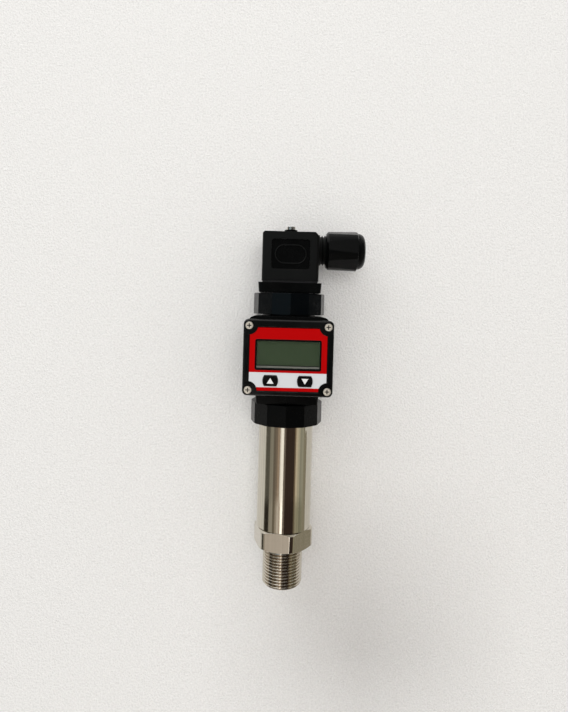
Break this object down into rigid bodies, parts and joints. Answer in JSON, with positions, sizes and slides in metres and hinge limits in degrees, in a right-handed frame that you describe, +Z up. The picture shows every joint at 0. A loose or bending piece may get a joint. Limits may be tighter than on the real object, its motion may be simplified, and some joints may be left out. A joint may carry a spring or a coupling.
{
  "type": "pressure transmitter with local display",
  "caption": "Upright pressure transmitter: threaded steel connection and tube, plug-in display module with two keys, square plug and side cable gland.",
  "frame": {"origin": "centre of the sealing shoulder under the hexagon, where the male thread begins", "axes": "+Z up the body's axis away from the thread, -Y the way the display faces, +X the way the cable gland points"},
  "size_m": [0.0589, 0.0423, 0.1814],
  "materials": {
    "stainless": "finely turned and polished stainless steel",
    "spring_steel": "plain spring steel",
    "plated_screw": "bright nickel plate",
    "brass_contact": "plain brass",
    "rubber_seal": "soft matt rubber",
    "ceramic": "fine white ceramic",
    "circuit_board": "solder-masked laminate",
    "black_plastic": "black moulded nylon, slightly satin",
    "black_gloss": "gloss black plastic",
    "white_plastic": "diffusing white plastic",
    "face_print": "red and white printed film",
    "clear_pane": "clear flat pane",
    "display_glass": "dark grey-green liquid crystal glass"
  },
  "bodies": {
    "transmitter": {"process_connection": "stainless", "sensor_seal": "rubber_seal", "pressure_sensor_cell": "ceramic", "sensor_retaining_ring": "stainless", "sensor_pins": "brass_contact", "housing_tube": "stainless", "board_holder": "black_plastic", "amplifier_board": "circuit_board", "amplifier_parts": "black_plastic", "lower_union_nut": "black_plastic", "lower_snap_ring": "spring_steel", "lower_neck_seal": "rubber_seal", "lower_base": "black_plastic", "lower_square_gasket": "rubber_seal", "lower_contact_blades": "brass_contact", "display_housing": "black_plastic", "display_socket": "black_plastic", "display_fixing_screw": "plated_screw", "display_cover": "black_plastic", "display_cover_gasket": "rubber_seal", "cover_screws": "plated_screw", "face_label": "face_print", "lcd_bezel": "black_gloss", "lcd_window": "clear_pane", "lcd_panel": "display_glass", "lcd_backlight": "white_plastic", "display_board": "circuit_board", "display_chips": "black_plastic", "up_switch": "black_plastic", "down_switch": "black_plastic", "upper_union_nut": "black_plastic", "upper_snap_ring": "spring_steel", "upper_neck_seal": "rubber_seal", "upper_base": "black_plastic", "upper_square_gasket": "rubber_seal", "upper_contact_blades": "brass_contact", "plug_housing": "black_plastic", "plug_insert": "black_plastic", "plug_terminals": "brass_contact", "plug_screw_washer": "black_plastic", "plug_screw": "plated_screw", "gland_seal": "rubber_seal"},
    "up_key": {"up_key": "black_gloss"},
    "down_key": {"down_key": "black_gloss"},
    "slip_ring": {"gland_slip_ring": "black_plastic"},
    "gland_nut": {"gland_nut": "black_plastic"}
  },
  "joints": [
    {"name": "up_key_press", "type": "slide", "parent": "transmitter", "child": "up_key", "axis": [0, 1, 0], "range_m": [0, 0.0005], "stiffness_N_per_m": 1000},
    {"name": "down_key_press", "type": "slide", "parent": "transmitter", "child": "down_key", "axis": [0, 1, 0], "range_m": [0, 0.0005], "stiffness_N_per_m": 1000},
    {"name": "gland_nut_travel", "type": "slide", "parent": "transmitter", "child": "slip_ring", "axis": [1, 0, 0], "range_m": [0, 0.00423]},
    {"name": "gland_nut_turn", "type": "hinge", "parent": "slip_ring", "child": "gland_nut", "pos_m": [0.0276, 0, 0.14975], "axis": [1, 0, 0], "range_deg": [0, 1080]}
  ],
  "couplings": [
    {"joint": "gland_nut_turn", "follows": "gland_nut_travel", "rad_per_m": 4456.2}
  ]
}
